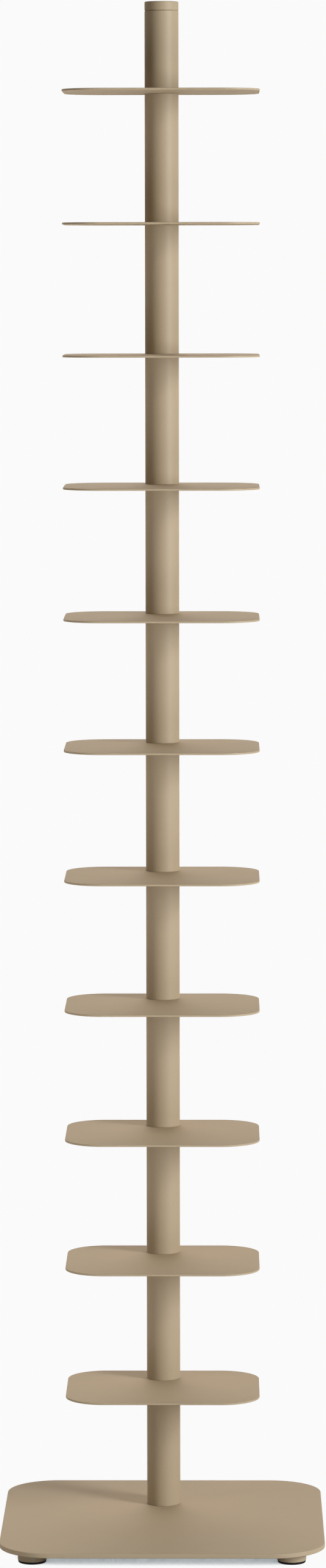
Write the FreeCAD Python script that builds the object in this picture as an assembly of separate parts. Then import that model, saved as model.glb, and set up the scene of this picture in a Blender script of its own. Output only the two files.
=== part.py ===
"""Spine bookshelf: a round column on a square base plate, with shelf plates clamped along it.

Every length is in millimetres. The origin is on the floor under the middle of the base plate,
+Z is up, and the front of the bookshelf faces -Y. The column stands behind the middle of the base.
"""

import FreeCAD, Part
import os

# Base plate
base_width = 350.0
base_depth = 350.0
base_thickness = 5.0
base_corner_radius = 56.5
base_edge_radius = 0.8
column_behind_base_centre = 64.0

# Shelf plates
shelf_count = 11
shelf_interval = 141.3
shelf_width = 211.0
shelf_depth = 174.0
shelf_thickness = 2.0
shelf_corner_radius = 42.0
shelf_edge_radius = 0.5
shelf_centre_before_column = 50.0

# Column
column_diameter = 36.7
tube_wall = 1.5
tube_end_chamfer = 0.3
top_tube_length = 86.9
cap_height = 10.0
cap_edge_radius = 0.9
cap_spigot_length = 9.0
cap_thread_depth = 14.0
cap_seam_chamfer = 0.45

# Joiners inside the column
joiner_reach = 12.0
joiner_clearance = 0.1
joiner_chamfer = 1.0
base_boss_diameter = 18.0

# Tie rods and what holds them
rod_diameter = 10.0
rod_clearance = 0.3
thread_clearance = 0.05
rod_end_chamfer = 1.0
rod_end_below_nut = 0.5
rod_end_gap = 2.0
rod_breaks = (4, 8)
coupling_length = 30.0
nut_across_flats = 17.0
nut_height = 6.0
washer_diameter = 36.0
washer_thickness = 2.5

# Feet
foot_inset = 36.0
disc_diameter = 31.0
disc_height = 9.5
disc_edge_radius = 0.6
sole_diameter = 30.0
sole_height = 2.5
sole_edge_radius = 0.9
bead_diameter = 24.0
bead_width = 2.0
bead_height = 1.5
bead_clearance = 0.05
stud_diameter = 8.0
stud_length = 8.0
stud_flange_diameter = 10.5
stud_flange_height = 0.8
stud_end_chamfer = 0.8

# Places that follow from the sizes above
base_bottom = sole_height + disc_height
base_top = base_bottom + base_thickness
column_y = column_behind_base_centre
shelf_y = column_y - shelf_centre_before_column
tube_inner_diameter = column_diameter - 2 * tube_wall
joiner_diameter = tube_inner_diameter - 2 * joiner_clearance
rod_hole_diameter = rod_diameter + 2 * rod_clearance
tapped_diameter = rod_diameter + 2 * thread_clearance
tube_length = shelf_interval - shelf_thickness
top_shelf_top = base_top + shelf_count * shelf_interval
cap_bottom = top_shelf_top + top_tube_length
nut_bottom = base_bottom - washer_thickness - nut_height
foot_places = [
    (side * (base_width / 2 - foot_inset), end * (base_depth / 2 - foot_inset))
    for end in (-1, 1)
    for side in (-1, 1)
]


def shelf_top(number):
    """Height of the top face of a shelf; shelf 1 is the lowest, and 0 is the base plate."""
    return base_top + number * shelf_interval


def cylinder(diameter, height, bottom, x=0.0, y=column_y):
    """An upright cylinder on the column's axis, or on another one."""
    return Part.makeCylinder(diameter / 2, height, FreeCAD.Vector(x, y, bottom))


def horizontal_edges(solid, height):
    """The edges of a solid that lie flat at one height."""
    return [
        edge
        for edge in solid.Edges
        if abs(edge.BoundBox.ZMin - height) < 1e-6
        and abs(edge.BoundBox.ZMax - height) < 1e-6
    ]


def ring_edges(solid, height, diameter):
    """The circular edges of one diameter at one height."""
    return [
        edge
        for edge in horizontal_edges(solid, height)
        if isinstance(edge.Curve, Part.Circle)
        and abs(edge.Curve.Radius - diameter / 2) < 1e-6
    ]


def rounded_plate(width, depth, thickness, corner_radius, bottom, y):
    """A flat plate with round corners, its middle at x = 0 and the given y."""
    box = Part.makeBox(
        width,
        depth,
        thickness,
        FreeCAD.Vector(-width / 2, y - depth / 2, bottom),
    )
    upright = [e for e in box.Edges if abs(e.BoundBox.ZLength - thickness) < 1e-6]
    return box.makeFillet(corner_radius, upright)


def ease_plate(plate, bottom, top, radius):
    """Rounds the sharp edges that cutting leaves round the outline of a plate."""
    rims = [
        edge
        for height in (bottom, top)
        for edge in horizontal_edges(plate, height)
    ]
    return plate.makeFillet(radius, rims)


def base_plate():
    """The square foot of the bookshelf, with the hole that the base spigot's boss centres in."""
    plate = rounded_plate(
        base_width, base_depth, base_thickness, base_corner_radius, base_bottom, 0.0
    )
    plate = ease_plate(plate, base_bottom, base_top, base_edge_radius)
    hole = base_boss_diameter + 2 * joiner_clearance
    return plate.cut(cylinder(hole, base_thickness, base_bottom))


def shelf_plate(number):
    """One shelf: a thin plate with a hole that its joiner passes through."""
    top = shelf_top(number)
    bottom = top - shelf_thickness
    plate = rounded_plate(
        shelf_width, shelf_depth, shelf_thickness, shelf_corner_radius, bottom, shelf_y
    )
    plate = ease_plate(plate, bottom, top, shelf_edge_radius)
    return plate.cut(cylinder(tube_inner_diameter, shelf_thickness, bottom))


def column_tube(bottom, length, top_chamfer):
    """One length of the column, its outer ends eased so that each joint shows as a fine line."""
    tube = cylinder(column_diameter, length, bottom)
    tube = tube.makeChamfer(tube_end_chamfer, ring_edges(tube, bottom, column_diameter))
    top = bottom + length
    tube = tube.makeChamfer(top_chamfer, ring_edges(tube, top, column_diameter))
    return tube.cut(cylinder(tube_inner_diameter, length, bottom))


def column_cap():
    """The turned cap: a disc flush with the column, a spigot, and the thread for the top rod."""
    head = cylinder(column_diameter, cap_height, cap_bottom)
    top = cap_bottom + cap_height
    head = head.makeFillet(cap_edge_radius, ring_edges(head, top, column_diameter))
    rim = ring_edges(head, cap_bottom, column_diameter)
    head = head.makeChamfer(cap_seam_chamfer, rim)
    spigot_bottom = cap_bottom - cap_spigot_length
    spigot = cylinder(joiner_diameter, cap_spigot_length, spigot_bottom)
    rim = ring_edges(spigot, spigot_bottom, joiner_diameter)
    spigot = spigot.makeChamfer(joiner_chamfer, rim)
    thread = cylinder(tapped_diameter, cap_thread_depth, spigot_bottom)
    return head.fuse(spigot).removeSplitter().cut(thread)


def column_joiner(number):
    """The spigot that keeps a shelf and the tubes over and under it in line."""
    bottom = shelf_top(number) - shelf_thickness - joiner_reach
    length = shelf_thickness + 2 * joiner_reach
    body = cylinder(joiner_diameter, length, bottom)
    rims = [
        edge
        for height in (bottom, bottom + length)
        for edge in ring_edges(body, height, joiner_diameter)
    ]
    body = body.makeChamfer(joiner_chamfer, rims)
    return body.cut(cylinder(rod_hole_diameter, length, bottom))


def base_spigot():
    """The spigot that centres the lowest tube; its boss drops into the base plate's hole."""
    body = cylinder(joiner_diameter, joiner_reach, base_top)
    rim = ring_edges(body, base_top + joiner_reach, joiner_diameter)
    body = body.makeChamfer(joiner_chamfer, rim)
    boss = cylinder(base_boss_diameter, base_thickness, base_bottom)
    bore = cylinder(rod_hole_diameter, base_thickness + joiner_reach, base_bottom)
    return body.fuse(boss).removeSplitter().cut(bore)


def rod_ends():
    """The heights where the rods start, meet and end, from the nut up to the cap."""
    meets = [shelf_top(tube - 1) + tube_length / 2 for tube in rod_breaks]
    last = cap_bottom - cap_spigot_length + cap_thread_depth - rod_end_gap
    return [nut_bottom - rod_end_below_nut, *meets, last]


def tie_rod(bottom, top):
    """One threaded rod, drawn at its thread's outer diameter."""
    rod = cylinder(rod_diameter, top - bottom, bottom)
    rims = [
        edge
        for height in (bottom, top)
        for edge in ring_edges(rod, height, rod_diameter)
    ]
    return rod.makeChamfer(rod_end_chamfer, rims)


def hexagon(across_flats, height, bottom):
    """An upright hexagonal bar on the column's axis."""
    corner_radius = across_flats / 2 / 0.75**0.5
    ring = Part.makeCircle(corner_radius, FreeCAD.Vector(0, column_y, bottom))
    corners = ring.discretize(Number=7)
    return Part.Face(Part.makePolygon(corners)).extrude(FreeCAD.Vector(0, 0, height))


def rod_nut(height, bottom):
    """A hexagonal nut on the tie rod."""
    nut = hexagon(nut_across_flats, height, bottom)
    return nut.cut(cylinder(tapped_diameter, height, bottom))


def base_washer():
    """The wide washer under the base plate."""
    bottom = base_bottom - washer_thickness
    washer = cylinder(washer_diameter, washer_thickness, bottom)
    return washer.cut(cylinder(rod_hole_diameter, washer_thickness, bottom))


def foot_stud(x, y):
    """A stud welded to the underside of the base plate, with the flange of its weld."""
    bottom = base_bottom - stud_length
    shank = cylinder(stud_diameter, stud_length, bottom, x, y)
    shank = shank.makeChamfer(stud_end_chamfer, ring_edges(shank, bottom, stud_diameter))
    flange_bottom = base_bottom - stud_flange_height
    flange = cylinder(stud_flange_diameter, stud_flange_height, flange_bottom, x, y)
    return shank.fuse(flange).removeSplitter()


def bead(x, y, growth):
    """The ring that holds a sole to its disc, grown on all sides for the groove it turns in."""
    height = bead_height + growth
    outer = cylinder(bead_diameter + 2 * growth, height, sole_height, x, y)
    inner_diameter = bead_diameter - 2 * bead_width - 2 * growth
    return outer.cut(cylinder(inner_diameter, height, sole_height, x, y))


def foot_disc(x, y):
    """The coated disc that is turned by hand to level the bookshelf."""
    disc = cylinder(disc_diameter, disc_height, sole_height, x, y)
    rims = [
        edge
        for height in (sole_height, base_bottom)
        for edge in ring_edges(disc, height, disc_diameter)
    ]
    disc = disc.makeFillet(disc_edge_radius, rims)
    thread = cylinder(
        stud_diameter + 2 * thread_clearance, disc_height, sole_height, x, y
    )
    seat_height = stud_flange_height + thread_clearance
    seat = cylinder(
        stud_flange_diameter + 2 * joiner_clearance,
        seat_height,
        base_bottom - seat_height,
        x,
        y,
    )
    return disc.cut(thread).cut(seat).cut(bead(x, y, bead_clearance))


def foot_sole(x, y):
    """The rubber sole, which stays still on the floor while the disc over it turns."""
    pad = cylinder(sole_diameter, sole_height, 0.0, x, y)
    pad = pad.makeFillet(sole_edge_radius, ring_edges(pad, 0.0, sole_diameter))
    return pad.fuse(bead(x, y, 0.0)).removeSplitter()


def bookshelf():
    """Every piece by name."""
    pieces = {"base_plate": base_plate(), "base_spigot": base_spigot()}
    for number in range(1, shelf_count + 1):
        tube_bottom = shelf_top(number - 1)
        pieces[f"column_tube_{number:02d}"] = column_tube(
            tube_bottom, tube_length, tube_end_chamfer
        )
        pieces[f"shelf_{number:02d}"] = shelf_plate(number)
        pieces[f"column_joiner_{number:02d}"] = column_joiner(number)
    pieces[f"column_tube_{shelf_count + 1:02d}"] = column_tube(
        top_shelf_top, top_tube_length, cap_seam_chamfer
    )
    pieces["column_cap"] = column_cap()

    ends = rod_ends()
    for number, (bottom, top) in enumerate(zip(ends, ends[1:]), start=1):
        pieces[f"tie_rod_{number}"] = tie_rod(bottom, top)
    for number, middle in enumerate(ends[1:-1], start=1):
        pieces[f"rod_coupling_{number}"] = rod_nut(
            coupling_length, middle - coupling_length / 2
        )
    pieces["base_washer"] = base_washer()
    pieces["base_nut"] = rod_nut(nut_height, nut_bottom)

    for number, (x, y) in enumerate(foot_places, start=1):
        pieces[f"foot_stud_{number}"] = foot_stud(x, y)
        pieces[f"foot_disc_{number}"] = foot_disc(x, y)
        pieces[f"foot_sole_{number}"] = foot_sole(x, y)
    return pieces


os.makedirs("parts", exist_ok=True)
for name, shape in bookshelf().items():
    shape.exportStep(f"parts/{name}.step")
    solids = len(shape.Solids)
    print(f"{name}: {solids} solid, {shape.Volume / 1000:.2f} cm3, valid {shape.isValid()}")
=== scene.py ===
"""Spine bookshelf: the finish of every piece, the small fasteners that need real threads and
chamfers, and a plain studio round them. Lengths are in metres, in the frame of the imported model."""

import math

import bmesh
import bpy
from mathutils import Matrix, Vector


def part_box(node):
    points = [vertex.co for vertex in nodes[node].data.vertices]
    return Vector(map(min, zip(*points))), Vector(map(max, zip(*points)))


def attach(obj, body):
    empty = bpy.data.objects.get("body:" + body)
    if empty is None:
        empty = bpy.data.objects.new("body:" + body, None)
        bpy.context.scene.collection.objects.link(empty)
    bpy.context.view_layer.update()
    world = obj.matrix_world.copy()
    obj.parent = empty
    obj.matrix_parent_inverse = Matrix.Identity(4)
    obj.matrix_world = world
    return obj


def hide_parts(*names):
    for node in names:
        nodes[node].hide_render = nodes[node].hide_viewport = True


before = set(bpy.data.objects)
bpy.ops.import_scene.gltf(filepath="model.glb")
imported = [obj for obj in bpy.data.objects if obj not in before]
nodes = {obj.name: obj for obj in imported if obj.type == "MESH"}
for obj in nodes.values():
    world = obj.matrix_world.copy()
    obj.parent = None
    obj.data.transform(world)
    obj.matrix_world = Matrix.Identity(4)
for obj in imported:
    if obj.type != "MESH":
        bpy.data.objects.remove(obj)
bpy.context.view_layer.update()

scene = bpy.context.scene
scene.view_settings.view_transform = "Standard"


# The view: a long lens at a standing person's chest height, six metres away and square to the
# front, tipped down a little so that the upper shelves show edge on and the base from above.
image_height = 2576
focal_length_in_pixels = 8748.0
sensor_height = 36.0
camera_place = Vector((0.0592, -5.7463, 1.3741))
camera_heading = math.radians(0.58)
camera_tip = math.radians(5.46)
camera_roll = math.radians(-0.09)

camera = bpy.data.objects.new("camera", bpy.data.cameras.new("camera"))
scene.collection.objects.link(camera)
scene.camera = camera
camera.data.sensor_width = sensor_height
camera.data.lens = focal_length_in_pixels / image_height * sensor_height
level_camera = Matrix.Rotation(math.pi / 2 - camera_tip, 4, "X")
turned_camera = Matrix.Rotation(camera_heading, 4, "Z") @ level_camera
camera.matrix_world = (
    Matrix.Translation(camera_place) @ turned_camera @ Matrix.Rotation(camera_roll, 4, "Z")
)


# The column: twelve lengths of steel tube and the turned cap, clamped end to end, each coated by
# itself before it is put together. The coat is a satin powder in warm tan: it melts into a thin
# skin with a fine orange peel and a barely seen grain, whose gloss fades where it is seen edge on.
class Value:
    """A number or colour on its way through a finish; sums with it add Math nodes."""

    def __init__(self, finish, socket):
        self.finish = finish
        self.socket = socket

    def __add__(self, other):
        return self.finish.maths("ADD", self, other)

    def __mul__(self, other):
        return self.finish.maths("MULTIPLY", self, other)

    def __pow__(self, other):
        return self.finish.maths("POWER", self, other)

    def __rsub__(self, other):
        return self.finish.maths("SUBTRACT", other, self)

    __radd__ = __add__
    __rmul__ = __mul__


class Finish:
    """The nodes of one finish, and the one way of adding to them."""

    def __init__(self, owner):
        owner.use_nodes = True
        self.tree = owner.node_tree
        self.tree.nodes.clear()

    def node(self, kind, settings=None, inputs=None, output=0):
        """Adds a node: settings first, then sockets by name or number; gives back an output."""
        made = self.tree.nodes.new("ShaderNode" + kind)
        for name, setting in (settings or {}).items():
            setattr(made, name, setting)
        for name, given in (inputs or {}).items():
            self.set_socket(self.find_socket(made.inputs, name), given)
        if made.outputs:
            return Value(self, self.find_socket(made.outputs, output))

    def find_socket(self, sockets, name):
        if isinstance(name, int):
            return sockets[name]
        return next(socket for socket in sockets if socket.name == name and socket.enabled)

    def set_socket(self, socket, given):
        if isinstance(given, Value):
            self.tree.links.new(given.socket, socket)
        else:
            socket.default_value = given

    def maths(self, operation, first, second):
        return self.node("Math", {"operation": operation}, {0: first, 1: second})

    def mix_colours(self, share, first, second):
        return self.node(
            "Mix",
            {"data_type": "RGBA"},
            {"Factor": share, "A": (*first, 1.0), "B": (*second, 1.0)},
            output="Result",
        )

    def noise(self, size, detail=2.0):
        """Even noise from 0 to 1 whose grains are about one size across, in metres."""
        place = self.node("TexCoord", output="Object")
        return self.node("TexNoise", None, {"Vector": place, "Scale": 1.0 / size, "Detail": detail})

    def bumps(self, height, depth):
        """A surface raised by up to a depth, in metres, where the height is 1."""
        return self.node("Bump", None, {"Distance": depth, "Height": height})

    def surface(self, sockets):
        """Ends the finish in one shader with these socket values."""
        shader = self.node("BsdfPrincipled", None, sockets)
        self.node("OutputMaterial", None, {"Surface": shader})


coat_dark = (0.382, 0.303, 0.204)
coat_light = (0.438, 0.347, 0.234)
coat_grain = 0.0012
coat_cloud = 0.03
coat_peel = 0.0007
coat_wave = 0.004
grain_share = 0.7
coat_roughness_low = 0.71
coat_roughness_spread = 0.08
coat_gloss = 0.1
skin_share = 0.8
skin_fade = 3.0
skin_roughness = 0.5
peel_depth = 0.00002
wave_to_peel = 2.0

powder_coat = bpy.data.materials.new("powder_coat_tan")
coat = Finish(powder_coat)
grain = coat.noise(coat_grain)
cloud = coat.noise(coat_cloud)
peel = coat.noise(coat_peel)
wave = coat.noise(coat_wave)
edge_on = coat.node("LayerWeight", output="Facing")
tint = grain_share * grain + (1 - grain_share) * cloud
coat.surface({
    "Base Color": coat.mix_colours(tint, coat_dark, coat_light),
    "Roughness": coat_roughness_low + coat_roughness_spread * grain,
    "Specular IOR Level": coat_gloss,
    "Coat Weight": (1 - edge_on) ** skin_fade * skin_share,
    "Coat Roughness": skin_roughness,
    "Normal": coat.bumps(peel + wave_to_peel * wave, peel_depth),
})


def give_finish(name_starts, material):
    """Puts a finish on every CAD node whose name starts so, in place of its plain one."""
    for name, node in nodes.items():
        if name.startswith(name_starts):
            node.data.materials.clear()
            node.data.materials.append(material)


give_finish("column_tube", powder_coat)


# The cap: turned from solid steel, with a spigot in the top tube and a blind thread for the rod.
# Its face is relieved at the rim, so that it seats on the tube's bore side and leaves a fine,
# dark parting line round the outside.
smooth_up_to = math.radians(28.0)


def ring_points(shape, centre, steps):
    """One ring of points round a centre; shape gives the radius and height at each angle."""
    points = []
    for step in range(steps):
        angle = 2 * math.pi * step / steps
        radius, height = shape(angle)
        points.append((centre.x + radius * math.cos(angle), centre.y + radius * math.sin(angle), height))
    return points


def skin_rings(name, rings, ends_meet):
    """A closed piece over a row of rings, whose two ends meet or are each capped."""
    form = bmesh.new()
    rows = [[form.verts.new(point) for point in ring] for ring in rings]
    if ends_meet:
        rows.append(rows[0])
    else:
        form.faces.new(reversed(rows[0]))
        form.faces.new(rows[-1])
    for row, next_row in zip(rows, rows[1:]):
        for step in range(len(row)):
            after = (step + 1) % len(row)
            form.faces.new((row[step], row[after], next_row[after], next_row[step]))
    mesh = bpy.data.meshes.new(name)
    form.to_mesh(mesh)
    form.free()
    mesh.shade_smooth()
    mesh.set_sharp_from_angle(angle=smooth_up_to)
    piece = bpy.data.objects.new(name, mesh)
    scene.collection.objects.link(piece)
    return piece


cap_thread_radius = 0.00505
cap_thread_depth = 0.014
cap_countersink = 0.0006
spigot_radius = 0.01675
spigot_length = 0.009
spigot_chamfer = 0.001
relief_radius = 0.01735
relief_height = 0.00035
cap_chamfer = 0.00045
cap_edge_radius = 0.0009
cap_edge_steps = 6
cap_steps = 160

cap_low, cap_high = (Vector(corner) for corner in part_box("column_cap"))
cap_radius = (cap_high.x - cap_low.x) / 2
cap_face = cap_low.z + spigot_length
cap_profile = [
    (cap_thread_radius, cap_low.z + cap_thread_depth),
    (cap_thread_radius, cap_low.z + cap_countersink),
    (cap_thread_radius + cap_countersink, cap_low.z),
    (spigot_radius - spigot_chamfer, cap_low.z),
    (spigot_radius, cap_low.z + spigot_chamfer),
    (spigot_radius, cap_face),
    (relief_radius, cap_face),
    (relief_radius, cap_face + relief_height),
    (cap_radius - cap_chamfer, cap_face + relief_height),
    (cap_radius, cap_face + relief_height + cap_chamfer),
]
for step in range(cap_edge_steps + 1):
    turn = math.pi / 2 * step / cap_edge_steps
    cap_profile.append((
        cap_radius - cap_edge_radius * (1 - math.cos(turn)),
        cap_high.z - cap_edge_radius * (1 - math.sin(turn)),
    ))
cap_rings = [
    ring_points(lambda angle: point, (cap_low + cap_high) / 2, cap_steps) for point in cap_profile
]
cap = skin_rings("turned_cap", cap_rings, ends_meet=False)
cap.data.materials.append(powder_coat)
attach(cap, "tower")
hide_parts("column_cap")


# The shelves: eleven plates cut from 2 mm steel sheet, coated all over, each clamped between two
# lengths of the column.
give_finish("shelf", powder_coat)


# The base: a square plate of 5 mm steel, heavy enough to keep the loaded column upright. It is
# coated all over and clamped under the lowest length of the column.
give_finish("base_plate", powder_coat)


# The clamp inside the column: threaded rods with long nuts between them, and the washer and nut
# that pull them tight under the base. All are zinc plated steel, dull and slightly clouded.
zinc_dark = (0.40, 0.40, 0.38)
zinc_light = (0.58, 0.57, 0.53)
zinc_cloud_size = 0.004
zinc_cloud_detail = 4.0
zinc_scratch_size = 0.0004
zinc_scratch_depth = 0.000006
zinc_roughness_low = 0.31
zinc_roughness_spread = 0.15

zinc_plate = bpy.data.materials.new("zinc_plated_steel")
zinc = Finish(zinc_plate)
zinc_cloud = zinc.noise(zinc_cloud_size, zinc_cloud_detail)
zinc.surface({
    "Base Color": zinc.mix_colours(zinc_cloud, zinc_dark, zinc_light),
    "Metallic": 1.0,
    "Roughness": zinc_roughness_low + zinc_roughness_spread * zinc_cloud,
    "Normal": zinc.bumps(zinc.noise(zinc_scratch_size), zinc_scratch_depth),
})
give_finish(("tie_rod", "rod_coupling", "base_washer"), zinc_plate)

nut_across_flats = 0.017
nut_face_radius = 0.0081
nut_chamfer_angle = math.radians(30.0)
nut_bore_radius = 0.00505
nut_countersink = 0.0006
nut_steps = 120


def hexagon_radius(angle):
    """Distance from a nut's axis to its flats."""
    from_flat_middle = angle % (math.pi / 3) - math.pi / 6
    return nut_across_flats / 2 / math.cos(from_flat_middle)


def chamfer_rise(angle):
    """How far from a nut's face its chamfer meets the flats."""
    return (hexagon_radius(angle) - nut_face_radius) * math.tan(nut_chamfer_angle)


nut_low, nut_high = (Vector(corner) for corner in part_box("base_nut"))
bottom, top = nut_low.z, nut_high.z
nut_shapes = [
    lambda angle: (nut_face_radius, bottom),
    lambda angle: (hexagon_radius(angle), bottom + chamfer_rise(angle)),
    lambda angle: (hexagon_radius(angle), top - chamfer_rise(angle)),
    lambda angle: (nut_face_radius, top),
    lambda angle: (nut_bore_radius + nut_countersink, top),
    lambda angle: (nut_bore_radius, top - nut_countersink),
    lambda angle: (nut_bore_radius, bottom + nut_countersink),
    lambda angle: (nut_bore_radius + nut_countersink, bottom),
]
nut_rings = [ring_points(shape, (nut_low + nut_high) / 2, nut_steps) for shape in nut_shapes]
nut = skin_rings("base_nut_chamfered", nut_rings, ends_meet=True)
nut.data.materials.append(zinc_plate)
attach(nut, "tower")
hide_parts("base_nut")


# The joiners and the base spigot: rings turned from black nylon. They fit the bores of the tubes
# and the holes of the shelves, and keep tubes and plates in line.
nylon_dark = (0.006, 0.006, 0.006)
nylon_light = (0.010, 0.010, 0.010)
nylon_grain_size = 0.0006
nylon_grain_depth = 0.00001
nylon_roughness_low = 0.5
nylon_roughness_spread = 0.1

joiner_nylon = bpy.data.materials.new("turned_nylon")
nylon = Finish(joiner_nylon)
nylon_grain = nylon.noise(nylon_grain_size)
nylon.surface({
    "Base Color": nylon.mix_colours(nylon_grain, nylon_dark, nylon_light),
    "Roughness": nylon_roughness_low + nylon_roughness_spread * nylon_grain,
    "Normal": nylon.bumps(nylon_grain, nylon_grain_depth),
})
give_finish(("column_joiner", "base_spigot"), joiner_nylon)


# The feet: a coated disc that is turned by hand on a zinc plated M8 stud, which is welded under
# the base by its small flange, and a black rubber sole that stays still on the floor while the
# disc over it turns.
rubber_dark = (0.004, 0.004, 0.004)
rubber_light = (0.010, 0.010, 0.010)
rubber_grain_size = 0.0005
rubber_grain_depth = 0.00002
rubber_roughness_low = 0.7
rubber_roughness_spread = 0.15
rubber_gloss = 0.15

sole_rubber = bpy.data.materials.new("black_rubber")
rubber = Finish(sole_rubber)
rubber_grain = rubber.noise(rubber_grain_size)
rubber.surface({
    "Base Color": rubber.mix_colours(rubber_grain, rubber_dark, rubber_light),
    "Roughness": rubber_roughness_low + rubber_roughness_spread * rubber_grain,
    "Specular IOR Level": rubber_gloss,
    "Normal": rubber.bumps(rubber_grain, rubber_grain_depth),
})
give_finish("foot_disc", powder_coat)
give_finish("foot_sole", sole_rubber)

stud_radius = 0.004
thread_pitch = 0.00125
thread_depth = 0.00075
root_flat_in_pitch = 0.25
crest_flat_in_pitch = 0.125
stud_chamfer = 0.0008
flange_radius = 0.00525
flange_height = 0.0008
flange_edge = 0.00015
stud_steps = 48
rings_in_pitch = 12


def thread_radius(height, angle):
    """Radius of a right-hand thread with a flat crest and root, at a height and an angle."""
    turn = (height / thread_pitch - angle / (2 * math.pi)) % 1.0
    from_root = abs(2 * turn - 1)
    up_flank = (from_root - root_flat_in_pitch) / (1 - root_flat_in_pitch - crest_flat_in_pitch)
    return stud_radius - thread_depth * (1 - min(max(up_flank, 0.0), 1.0))


for name in sorted(name for name in nodes if name.startswith("foot_stud")):
    low, high = (Vector(corner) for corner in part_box(name))
    centre = (low + high) / 2
    thread_length = high.z - low.z - flange_height
    ring_count = round(thread_length / thread_pitch * rings_in_pitch)
    rings = []
    for ring in range(ring_count + 1):
        height = thread_length * ring / ring_count
        end = stud_radius - stud_chamfer + height
        rings.append(ring_points(
            lambda angle: (min(thread_radius(height, angle), end), low.z + height), centre, stud_steps
        ))
    for height, radius in (
        (thread_length, flange_radius - flange_edge),
        (thread_length + flange_edge, flange_radius),
        (thread_length + flange_height, flange_radius),
    ):
        rings.append(ring_points(lambda angle: (radius, low.z + height), centre, stud_steps))
    stud = skin_rings(name.replace("foot_stud", "threaded_stud"), rings, ends_meet=False)
    stud.data.materials.append(zinc_plate)
    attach(stud, "tower")
    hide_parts(name)


# The floor: as white as the backdrop, so that its far edge isn't seen. Round the feet its seen
# colour carries a short, soft painted shadow, and it throws the light that falls on it back up under the
# plates.
backdrop_white = (0.956, 0.956, 0.956)
shade_colour = (0.31, 0.345, 0.36)
shade_reach = 0.1
shade_from = 0.035
shade_to = 0.08
shade_samples = 32
floor_radius = 4.0
floor_steps = 96
floor_bounce = (0.9, 0.9, 0.9)


def seen_directly(finish):
    """1 for rays from the camera, from gloss and through clear pieces; 0 for light on pieces."""
    camera_ray = finish.node("LightPath", output="Is Camera Ray")
    glossy_ray = finish.node("LightPath", output="Is Glossy Ray")
    clear_ray = finish.node("LightPath", output="Is Transmission Ray")
    return finish.maths("MAXIMUM", camera_ray, finish.maths("MAXIMUM", glossy_ray, clear_ray))


floor_mesh = bpy.data.meshes.new("floor")
floor_form = bmesh.new()
bmesh.ops.create_circle(floor_form, cap_ends=True, radius=floor_radius, segments=floor_steps)
floor_form.to_mesh(floor_mesh)
floor_form.free()
floor = bpy.data.objects.new("floor", floor_mesh)
scene.collection.objects.link(floor)

floor_paint = bpy.data.materials.new("white_floor")
paint = Finish(floor_paint)
# Painted shadow: where little is open round a floor point, near the feet, its seen colour is painted
# from white down to shade_colour.
openness = paint.node(
    "AmbientOcclusion", {"samples": shade_samples}, {"Distance": shade_reach}, output="AO"
)
lit_share = paint.node(
    "MapRange",
    {"interpolation_type": "SMOOTHSTEP"},
    {"Value": openness, "From Min": shade_from, "From Max": shade_to},
)
floor_painted_shadow_colour = paint.mix_colours(lit_share, shade_colour, backdrop_white)
floor_seen = paint.node("Emission", None, {"Color": floor_painted_shadow_colour})
floor_lit = paint.node("BsdfDiffuse", None, {"Color": (*floor_bounce, 1.0)})
floor_shader = paint.node("MixShader", None, {0: seen_directly(paint), 1: floor_lit, 2: floor_seen})
paint.node("OutputMaterial", None, {"Surface": floor_shader})
floor_mesh.materials.append(floor_paint)


# The room: a white backdrop all round, and a soft warm light that comes low from behind the
# bookshelf and from behind at its left.
glow_rise = math.radians(12.0)
glow_tightness = 6.0
behind_heading = math.radians(180.0)
behind_light = 4.4
behind_left_heading = math.radians(225.0)
behind_left_light = 0.84
room_colour = (1.103, 1.0, 0.90)

scene.world = bpy.data.worlds.new("studio")
studio = Finish(scene.world)
direction = studio.node("TexCoord", output="Generated")


def glow(heading, strength):
    """How bright a glow is to each light ray; its heading turns from the front by the right."""
    centre = (
        math.cos(glow_rise) * math.sin(heading),
        -math.cos(glow_rise) * math.cos(heading),
        math.sin(glow_rise),
    )
    along = studio.node(
        "VectorMath", {"operation": "DOT_PRODUCT"}, {0: direction, 1: centre}, output="Value"
    )
    return studio.maths("MAXIMUM", along, 0.0) ** glow_tightness * strength


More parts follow.
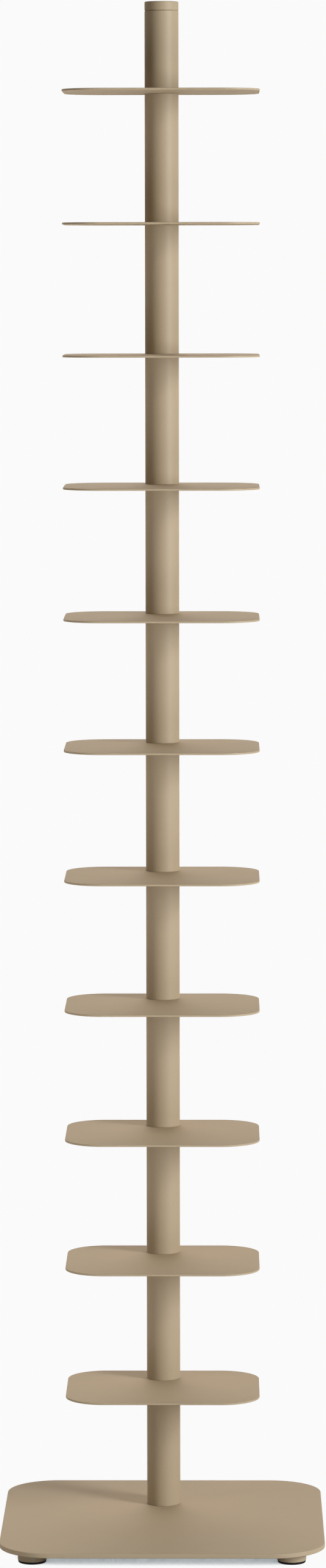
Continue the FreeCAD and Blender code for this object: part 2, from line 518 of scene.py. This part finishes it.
room = glow(behind_heading, behind_light) + glow(behind_left_heading, behind_left_light)
room_light = studio.node("VectorMath", {"operation": "SCALE"}, {0: room_colour, "Scale": room})
room_lit = studio.node("Background", None, {"Color": room_light})
room_seen = studio.node("Background", None, {"Color": (*backdrop_white, 1.0)})
room_shader = studio.node("MixShader", None, {0: seen_directly(studio), 1: room_lit, 2: room_seen})
studio.node("OutputWorld", None, {"Surface": room_shader})


# The lamps: a large softbox at the front right and a weak one high in front, and two lit boards,
# one on the floor and one at the left, which lift the shade of the column.
column_middle = Vector((0.0, 0.064, 0.85))
softbox_distance = 4.1
softbox_size = (1.2, 1.9)
key_direction = math.radians(56.0)
key_height = 1.62
key_power = 165.0
key_colour = (0.961, 1.0, 1.035)
high_direction = math.radians(20.0)
high_height = 3.2
high_power = 30.0
high_colour = (1.143, 1.0, 0.73)
floor_board_place = Vector((-0.95, -0.7, 0.01))
floor_board_size = (1.3, 1.6)
floor_board_power = 3.4
left_board_place = Vector((-1.1, -0.6, 0.8))
left_board_size = (0.5, 0.8)
left_board_power = 3.0
board_colour = (1.0, 1.0, 1.0)


def softbox_place(heading, height):
    """A place in front of the column, at the distance of both softboxes."""
    return Vector((
        column_middle.x + softbox_distance * math.sin(heading),
        column_middle.y - softbox_distance * math.cos(heading),
        height,
    ))


def add_lamp(name, place, target, size, power, colour):
    """A rectangular area lamp that faces a point and isn't seen itself."""
    lamp = bpy.data.lights.new(name, "AREA")
    lamp.shape = "RECTANGLE"
    lamp.size, lamp.size_y = size
    lamp.energy = power
    lamp.color = colour
    box = bpy.data.objects.new(name, lamp)
    scene.collection.objects.link(box)
    box.location = place
    box.rotation_euler = (place - target).to_track_quat("Z", "Y").to_euler()
    box.visible_camera = False


key_place = softbox_place(key_direction, key_height)
high_place = softbox_place(high_direction, high_height)
over_floor_board = floor_board_place + Vector((0.0, 0.0, 1.0))
add_lamp("key_softbox", key_place, column_middle, softbox_size, key_power, key_colour)
add_lamp("high_softbox", high_place, column_middle, softbox_size, high_power, high_colour)
add_lamp(
    "floor_board", floor_board_place, over_floor_board, floor_board_size, floor_board_power, board_colour
)
add_lamp(
    "left_board", left_board_place, column_middle, left_board_size, left_board_power, board_colour
)
